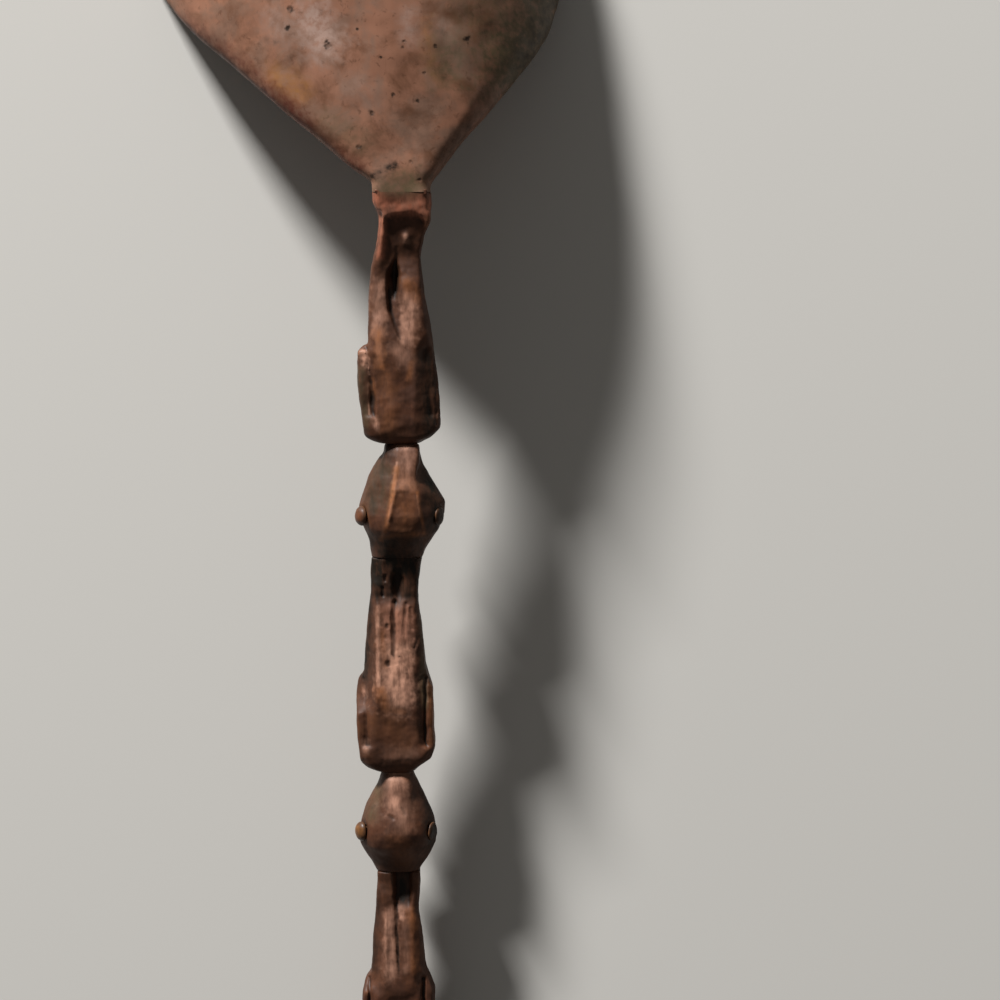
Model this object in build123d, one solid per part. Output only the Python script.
from build123d import *
import os
from math import asin, cos, degrees, radians, sin, sqrt

# Carved wooden spoon lying face down: bowl at +Y, handle of three stacked figures towards -Y.
# Pieces are shaped about the neck joint, then moved so that the origin is the bottom centre of the box.
# All sizes are in millimetres and all angles in degrees.

# Bowl, along its own axis from the neck joint to the tip
BOWL_LENGTH = 102.0
BOWL_WIDTH = 83.0
BOWL_DEPTH = 32.0
BOWL_LEAN = 11.0
CROWN_WALL = 5.0
RIM_WIDTH = 3.2
RIM_FLARE = 0.8
NECK_DROP = 1.7
HOLLOW_NECK_DROP = 4.0
LEFT_FLANK_START = 2.8
LEFT_FLANK_REACH = 30.0
LEFT_FLANK_RISE = 34.2
LEFT_CURVE_REACH = 36.9
LEFT_CURVE_RISE = 46.2
RIGHT_FLANK_START = 0.4
RIGHT_FLANK_REACH = 28.3
RIGHT_FLANK_RISE = 20.0
RIGHT_CURVE_REACH = 36.8
RIGHT_CURVE_RISE = 32.2

# Neck, tang and cross peg
NECK_WIDTH = 11.3
NECK_DEPTH = 9.4
NECK_CORNER = 2.0
NECK_ROOT = 6.0
NECK_ROOT_DEPTH = 4.4
TANG_WIDTH = 4.4
TANG_DEPTH = 2.8
TANG_LENGTH = 9.0
PEG_DIAMETER = 1.6
PEG_SETBACK = 1.8
FOOT_BLOCK = 3.4

# Fits between glued pieces
GLUE_GAP = 0.1
END_GAP = 0.4
SPIGOT_DIAMETER = 3.8
SPIGOT_LENGTH = 5.0

# The middle and last figures stand a little to the left of the first one
HANDLE_SWAY = -0.9

# Legs and torso, common to the figures
LEG_DEPTH = 7.8
LEG_CORNER = 2.4
ANKLE_RISE = 7.0
HIP_DEPTH = 9.0
CHEST_DEPTH = 10.2
CHEST_RISE = 5.0
CHEST_CORNER = 3.0
SHOULDER_BLOCK = 5.2
SHOULDER_ROUND = 3.2
SHOULDER_TURN = 1.1
SHOULDER_INSET = 1.5
COLLAR_WIDTH = 7.6
COLLAR_DEPTH = 6.6
GROOVE_WIDTH = 2.6
GROOVE_FLOOR = 2.0
GROOVE_SETBACK = 1.6
ARM_WIDTH = 1.7
ARM_EMBED = 0.7
ARM_DEPTH = 5.2
ARM_CORNER = 0.5
ARM_RISE = 0.4
HAND_ROUND = 1.6
HAND_INSET = 0.9

# Heads and ear pegs, common to the figures
THROAT_DIAMETER = 5.5
THROAT_LENGTH = 0.9
CROWN_RISE = 8.0
JAW_INSET = 3.3
BROW_INSET = 3.3
HEAD_FLATTENING = 1.2
FACE_INSET = 2.2
BROW_ABOVE_EARS = 1.6
NOSE_LENGTH = 4.6
NOSE_BRIDGE = 1.5
NOSE_WIDTH = 2.8
NOSE_INSET = 0.5
EAR_DIAMETER = 4.0
EAR_BAND = 1.1
EAR_DOME = 0.9
EAR_SEAT = 0.5
EAR_SHANK = 1.8
EAR_SHANK_LENGTH = 3.2
EAR_LIFT = 22.0

# The figure next to the bowl
LOWER_LEGS = 28.4
LOWER_TORSO = 18.3
LOWER_HEAD = 21.5
LOWER_FOOT_WIDTH = 9.6
LOWER_ANKLE_WIDTH = 9.0
LOWER_HIP_WIDTH = 11.6
LOWER_TORSO_WIDTH = 15.3
LOWER_HEAD_WIDTH = 16.0
LOWER_CROWN_WIDTH = 9.4

# The figure in the middle of the handle
MIDDLE_LEGS = 21.9
MIDDLE_TORSO = 19.0
MIDDLE_HEAD = 19.3
MIDDLE_FOOT_WIDTH = 8.8
MIDDLE_ANKLE_WIDTH = 8.7
MIDDLE_HIP_WIDTH = 11.2
MIDDLE_TORSO_WIDTH = 14.7
MIDDLE_HEAD_WIDTH = 14.9
MIDDLE_CROWN_WIDTH = 8.6

# The figure that ends the handle
UPPER_LEGS = 19.7
UPPER_TORSO = 18.0
UPPER_HEAD = 18.4
UPPER_FOOT_WIDTH = 7.4
UPPER_ANKLE_WIDTH = 7.6
UPPER_HIP_WIDTH = 10.2
UPPER_TORSO_WIDTH = 13.9
UPPER_HEAD_WIDTH = 13.6
UPPER_CROWN_WIDTH = 7.2
UPPER_CROWN_ROUND = 1.8

# Distances along the handle from the neck joint
LOWER_SHOULDER = LOWER_LEGS + LOWER_TORSO
LOWER_CROWN = LOWER_SHOULDER + LOWER_HEAD
MIDDLE_SHOULDER = LOWER_CROWN + MIDDLE_LEGS + MIDDLE_TORSO
MIDDLE_CROWN = MIDDLE_SHOULDER + MIDDLE_HEAD
UPPER_SHOULDER = MIDDLE_CROWN + UPPER_LEGS + UPPER_TORSO
UPPER_EARS = UPPER_SHOULDER + UPPER_HEAD - CROWN_RISE

# Height of the handle's axis at the neck joint, so that its back is flush with the back of the bowl
NECK_HEIGHT = BOWL_DEPTH - NECK_DROP - NECK_DEPTH / 2

# A cutter runs this far past the face it opens
PAST = 1.0

# Rounds of the search for the slope at which the handle rests
SETTLING_ROUNDS = 6


def station(distance):
    """Plane across the handle at a distance from the neck joint, with x to the right and y to the back."""
    return Plane(origin=(0, -distance, 0), x_dir=(1, 0, 0), z_dir=(0, -1, 0))


def slab(distance, width, depth, corner):
    """Rounded rectangle across the handle."""
    return station(distance) * RectangleRounded(width, depth, corner)


def round_bar(distance, length, diameter):
    """Round bar along the handle from a distance towards its end."""
    return extrude(station(distance) * Circle(diameter / 2), length)


def square_bar(distance, length, width, depth):
    """Rectangular bar along the handle from a distance towards its end."""
    return extrude(station(distance) * Rectangle(width, depth), length)


def dome(height, footprint, neck_drop):
    """Body under a dome that is spherical over the front of the bowl and falls gently to the neck."""
    centre = BOWL_LENGTH - BOWL_WIDTH / 2
    radius = (footprint**2 + height**2) / (2 * height)
    axis_height = height - radius
    keel = (centre**2 + neck_drop**2) / (2 * neck_drop)

    def keel_point(along):
        return (0, along, height - keel + sqrt(keel**2 - (centre - along) ** 2))

    tail = -NECK_ROOT
    crown = (0, centre, height)
    tip = (0, centre + radius, axis_height)
    diagonal = radius / sqrt(2)
    front_middle = (0, centre + diagonal, axis_height + diagonal)
    tail_axis = (0, tail, axis_height)
    edges = [
        ThreePointArc(keel_point(tail), keel_point(centre / 2), crown),
        ThreePointArc(crown, front_middle, tip),
        Line(tip, tail_axis),
        Line(tail_axis, keel_point(tail)),
    ]
    return revolve(make_face(edges), Axis((0, 0, axis_height), (0, 1, 0)), 360)


def bowl_outline():
    """Outline of the bowl from above: straight shoulders, fuller on the right, and a half-round front."""
    centre = BOWL_LENGTH - BOWL_WIDTH / 2
    half_width = BOWL_WIDTH / 2
    half_neck = NECK_WIDTH / 2
    left_neck = Vector(-half_neck, LEFT_FLANK_START)
    left_flank = Vector(-LEFT_FLANK_REACH, LEFT_FLANK_RISE)
    left_curve = Vector(-LEFT_CURVE_REACH, LEFT_CURVE_RISE)
    left_side = Vector(-half_width, centre)
    right_neck = Vector(half_neck, RIGHT_FLANK_START)
    right_flank = Vector(RIGHT_FLANK_REACH, RIGHT_FLANK_RISE)
    right_curve = Vector(RIGHT_CURVE_REACH, RIGHT_CURVE_RISE)
    right_side = Vector(half_width, centre)
    ahead = Vector(0, 1)
    edges = [
        Line(left_neck, left_flank),
        Spline(left_flank, left_curve, left_side, tangents=(left_flank - left_neck, ahead)),
        ThreePointArc(left_side, (0, BOWL_LENGTH), right_side),
        Spline(right_flank, right_curve, right_side, tangents=(right_flank - right_neck, ahead)),
        Line(right_neck, right_flank),
        Line(left_neck, right_neck),
    ]
    return make_face(edges)


def bowl_shell():
    """Dished bowl, cut to its outline, with a flat rim."""
    back = dome(BOWL_DEPTH, BOWL_WIDTH / 2 + RIM_FLARE, NECK_DROP)
    hollow = dome(BOWL_DEPTH - CROWN_WALL, BOWL_WIDTH / 2 - RIM_WIDTH, HOLLOW_NECK_DROP)
    plan = extrude(bowl_outline(), BOWL_DEPTH + PAST)
    return Rot(0, 0, BOWL_LEAN) * ((back & plan) - hollow)


def peg_bore(diameter):
    """Bar across the foot block, where the cross peg goes."""
    across = Plane(origin=(-NECK_WIDTH / 2, -PEG_SETBACK, 0), x_dir=(0, 1, 0), z_dir=(1, 0, 0))
    return extrude(across * Circle(diameter / 2), NECK_WIDTH)


def neck_and_tang():
    """Neck of the bowl with its square tang, in the handle's frame."""
    root_offset = (NECK_DEPTH - NECK_ROOT_DEPTH) / 2
    root = Pos(0, 0, root_offset) * slab(-NECK_ROOT, NECK_WIDTH, NECK_ROOT_DEPTH, NECK_CORNER)
    neck = loft([root, slab(0, NECK_WIDTH, NECK_DEPTH, NECK_CORNER)], ruled=True)
    tang = square_bar(-NECK_ROOT / 2, NECK_ROOT / 2 + TANG_LENGTH, TANG_WIDTH, TANG_DEPTH)
    return neck + tang - peg_bore(PEG_DIAMETER + 2 * GLUE_GAP)


def leg_groove(start, length, side):
    """V-shaped groove between the legs, on the back (side 1) or the front (side -1)."""
    top = side * (HIP_DEPTH / 2 + PAST)
    floor = side * GROOVE_FLOOR
    spread = GROOVE_WIDTH / 2 * (HIP_DEPTH / 2 + PAST - GROOVE_FLOOR) / (LEG_DEPTH / 2 - GROOVE_FLOOR)
    section = make_face(Polyline((-spread, top), (spread, top), (0, floor), close=True))
    return extrude(station(start) * section, length)


def arm(hand, armpit, core_width, side):
    """Straight arm lying along the torso, on the right (side 1) or the left (side -1)."""
    inner = core_width / 2 - ARM_EMBED

    def cut(distance, reach):
        middle = Pos(side * (inner + reach) / 2, ARM_RISE)
        return station(distance) * middle * RectangleRounded(reach - inner, ARM_DEPTH, ARM_CORNER)

    reach = core_width / 2 + ARM_WIDTH
    return loft([cut(hand, reach - HAND_INSET), cut(hand + HAND_ROUND, reach), cut(armpit, reach)], ruled=True)


def shoulders(armpit, shoulder, torso_width):
    """Full-width block above the armpits that turns in to the collar."""
    sections = [
        slab(armpit, torso_width, CHEST_DEPTH, CHEST_CORNER),
        slab(shoulder - SHOULDER_ROUND, torso_width, CHEST_DEPTH, CHEST_CORNER),
        slab(
            shoulder - SHOULDER_TURN,
            torso_width - 2 * SHOULDER_INSET,
            CHEST_DEPTH - SHOULDER_INSET,
            CHEST_CORNER,
        ),
        slab(shoulder, COLLAR_WIDTH, COLLAR_DEPTH, CHEST_CORNER),
    ]
    return loft(sections, ruled=True)


def figure_body(start, legs, torso, foot_width, ankle_width, hip_width, torso_width):
    """Legs, torso and arms of one figure, with the socket for its head."""
    hip = start + legs
    shoulder = hip + torso
    armpit = shoulder - SHOULDER_BLOCK
    core_width = torso_width - 2 * ARM_WIDTH
    sections = [
        slab(start, foot_width, LEG_DEPTH, LEG_CORNER),
        slab(start + ANKLE_RISE, ankle_width, LEG_DEPTH, LEG_CORNER),
        slab(hip, hip_width, HIP_DEPTH, LEG_CORNER),
        slab(hip + CHEST_RISE, core_width, CHEST_DEPTH, CHEST_CORNER),
        slab(armpit + PAST, core_width, CHEST_DEPTH, CHEST_CORNER),
    ]
    body = loft(sections, ruled=True) + shoulders(armpit, shoulder, torso_width)
    for side in (-1, 1):
        body += arm(hip, armpit + PAST, core_width, side)
        body -= leg_groove(start + GROOVE_SETBACK, legs - 2 * GROOVE_SETBACK, side)
    depth = SPIGOT_LENGTH + END_GAP
    socket = round_bar(shoulder - depth, depth + PAST, SPIGOT_DIAMETER + 2 * GLUE_GAP)
    return body - socket


def lower_body():
    """Figure next to the bowl: its feet stand on a block that is mortised for the tang."""
    body = figure_body(
        0,
        LOWER_LEGS,
        LOWER_TORSO,
        LOWER_FOOT_WIDTH,
        LOWER_ANKLE_WIDTH,
        LOWER_HIP_WIDTH,
        LOWER_TORSO_WIDTH,
    )
    body += extrude(slab(0, NECK_WIDTH, NECK_DEPTH, NECK_CORNER), FOOT_BLOCK)
    width = TANG_WIDTH + 2 * GLUE_GAP
    depth = TANG_DEPTH + 2 * GLUE_GAP
    body -= square_bar(-PAST, PAST + TANG_LENGTH + END_GAP, width, depth)
    return body - peg_bore(PEG_DIAMETER + 2 * GLUE_GAP)


def upper_body(start, *sizes):
    """Figure that stands on the crown of another one, on a round foot spigot."""
    return figure_body(start, *sizes) + round_bar(start - SPIGOT_LENGTH, SPIGOT_LENGTH + PAST, SPIGOT_DIAMETER)


def ear_plane(start, length, width, side):
    """Seat of an ear peg on the right (side 1) or the left (side -1) of a head, facing out and a little back."""
    ears = start + length - CROWN_RISE
    out = Vector(side * cos(radians(EAR_LIFT)), 0, sin(radians(EAR_LIFT)))
    return Plane(origin=out * (width / 2 - EAR_SEAT) - Vector(0, ears, 0), x_dir=(0, 1, 0), z_dir=out)


def oval(distance, width):
    """Cross-section of a head, a little shallower than it is wide."""
    return station(distance) * Ellipse(width / 2, (width - HEAD_FLATTENING) / 2)


def head(start, length, width, crown_width):
    """Egg-shaped head on its throat, with a flat face on the front, a nose and seats for the ears."""
    crown = start + length
    ears = crown - CROWN_RISE
    brow = ears + BROW_ABOVE_EARS
    throat_end = start + THROAT_LENGTH
    throat = station(throat_end) * Circle(THROAT_DIAMETER / 2)
    sections = [
        throat,
        oval((throat_end + ears) / 2, width - JAW_INSET),
        oval(ears, width),
        oval((ears + crown) / 2, width - BROW_INSET),
        oval(crown, crown_width),
    ]
    shape = loft(sections)
    shape += round_bar(start, THROAT_LENGTH, THROAT_DIAMETER)
    front = (width - HEAD_FLATTENING) / 2
    face = station(throat_end) * Pos(0, -front) * Rectangle(width, 2 * FACE_INSET)
    shape -= extrude(face, brow - throat_end)
    bridge_centre = -(front - FACE_INSET)
    bridge = station(brow) * Pos(0, bridge_centre) * Rectangle(NOSE_BRIDGE, FACE_INSET / 2)
    tip = station(brow - NOSE_LENGTH) * Pos(0, bridge_centre) * Rectangle(
        NOSE_WIDTH, 2 * (FACE_INSET - NOSE_INSET)
    )
    shape += loft([tip, bridge], ruled=True)
    shape += round_bar(start - SPIGOT_LENGTH, SPIGOT_LENGTH + PAST, SPIGOT_DIAMETER)
    for side in (-1, 1):
        seat = ear_plane(start, length, width, side)
        shape -= extrude(seat * Circle(EAR_DIAMETER / 2 + GLUE_GAP), EAR_SEAT + PAST)
        hole = seat * Circle(EAR_SHANK / 2 + GLUE_GAP)
        shape -= extrude(hole, -(EAR_SHANK_LENGTH + END_GAP))
    return shape


def crown_socket(crown):
    """Cutter for the socket in a crown, where the next figure's foot spigot goes."""
    depth = SPIGOT_LENGTH + END_GAP
    return round_bar(crown - depth, depth + PAST, SPIGOT_DIAMETER + 2 * GLUE_GAP)


def ear_peg(seat):
    """Round-headed peg: a low dome on a band, and a shank in the head."""
    edge = EAR_DIAMETER / 2
    dome_radius = (edge**2 + EAR_DOME**2) / (2 * EAR_DOME)
    half_angle = asin(edge / dome_radius) / 2
    dome_middle = (
        dome_radius * sin(half_angle),
        EAR_BAND + EAR_DOME - dome_radius * (1 - cos(half_angle)),
    )
    edges = [
        Line((0, -EAR_SHANK_LENGTH), (EAR_SHANK / 2, -EAR_SHANK_LENGTH)),
        Line((EAR_SHANK / 2, -EAR_SHANK_LENGTH), (EAR_SHANK / 2, 0)),
        Line((EAR_SHANK / 2, 0), (edge, 0)),
        Line((edge, 0), (edge, EAR_BAND)),
        ThreePointArc((edge, EAR_BAND), dome_middle, (0, EAR_BAND + EAR_DOME)),
        Line((0, EAR_BAND + EAR_DOME), (0, -EAR_SHANK_LENGTH)),
    ]
    turned = revolve(Plane.XZ * make_face(edges), Axis.Z, 360)
    return seat.location * turned


def resting_slope(last_head):
    """Angle at which the handle slopes down from the neck until the last head touches the table."""
    slope = degrees(asin((NECK_HEIGHT - UPPER_HEAD_WIDTH / 2) / UPPER_EARS))
    for _ in range(SETTLING_ROUNDS):
        gap = (Pos(0, 0, NECK_HEIGHT) * Rot(slope, 0, 0) * last_head).bounding_box().min.Z
        slope += degrees(gap / UPPER_EARS)
    return slope


heads = {
    "lower": (LOWER_SHOULDER, LOWER_HEAD, LOWER_HEAD_WIDTH, LOWER_CROWN_WIDTH),
    "middle": (MIDDLE_SHOULDER, MIDDLE_HEAD, MIDDLE_HEAD_WIDTH, MIDDLE_CROWN_WIDTH),
    "upper": (UPPER_SHOULDER, UPPER_HEAD, UPPER_HEAD_WIDTH, UPPER_CROWN_WIDTH),
}

# Handle pieces, in the handle's frame
sway = Pos(HANDLE_SWAY, 0, 0)
handle = {
    "tang_peg": peg_bore(PEG_DIAMETER),
    "lower_figure": lower_body(),
    "middle_figure": upper_body(
        LOWER_CROWN,
        MIDDLE_LEGS,
        MIDDLE_TORSO,
        MIDDLE_FOOT_WIDTH,
        MIDDLE_ANKLE_WIDTH,
        MIDDLE_HIP_WIDTH,
        MIDDLE_TORSO_WIDTH,
    ),
    "upper_figure": upper_body(
        MIDDLE_CROWN,
        UPPER_LEGS,
        UPPER_TORSO,
        UPPER_FOOT_WIDTH,
        UPPER_ANKLE_WIDTH,
        UPPER_HIP_WIDTH,
        UPPER_TORSO_WIDTH,
    ),
    "lower_head": head(*heads["lower"]) - sway * crown_socket(LOWER_CROWN),
    "middle_head": head(*heads["middle"]) - crown_socket(MIDDLE_CROWN),
}
last_head = head(*heads["upper"])
crown_edge = last_head.faces().sort_by(Axis.Y)[0].edges()
handle["upper_head"] = fillet(crown_edge, UPPER_CROWN_ROUND)
for name, (start, length, width, crown_width) in heads.items():
    handle[f"{name}_ear_left"] = ear_peg(ear_plane(start, length, width, -1))
    handle[f"{name}_ear_right"] = ear_peg(ear_plane(start, length, width, 1))
for name in handle:
    if name.startswith(("middle", "upper")):
        handle[name] = sway * handle[name]

# Placing: the handle slopes from the neck to the table
slope = resting_slope(handle["upper_head"])
handle_place = Pos(0, 0, NECK_HEIGHT) * Rot(slope, 0, 0)
pieces = {name: handle_place * shape for name, shape in handle.items()}
pieces["bowl"] = bowl_shell() + handle_place * neck_and_tang()

# The origin is the bottom centre of the box around all pieces
boxes = [shape.bounding_box() for shape in pieces.values()]
low = Vector(*(min(getattr(box.min, axis) for box in boxes) for axis in "XYZ"))
high = Vector(*(max(getattr(box.max, axis) for box in boxes) for axis in "XYZ"))
centring = Pos(-(low.X + high.X) / 2, -(low.Y + high.Y) / 2, -low.Z)
os.makedirs("parts", exist_ok=True)
for name, shape in pieces.items():
    export_step(centring * shape, f"parts/{name}.step")

size = high - low
print(f"handle slope {slope:.2f} degrees, size {size.X:.1f} x {size.Y:.1f} x {size.Z:.1f}, bottom {low.Z:.4f}")
print(f"neck joint at {centring.position.X:.3f}, {centring.position.Y:.3f}, {NECK_HEIGHT - low.Z:.3f}")
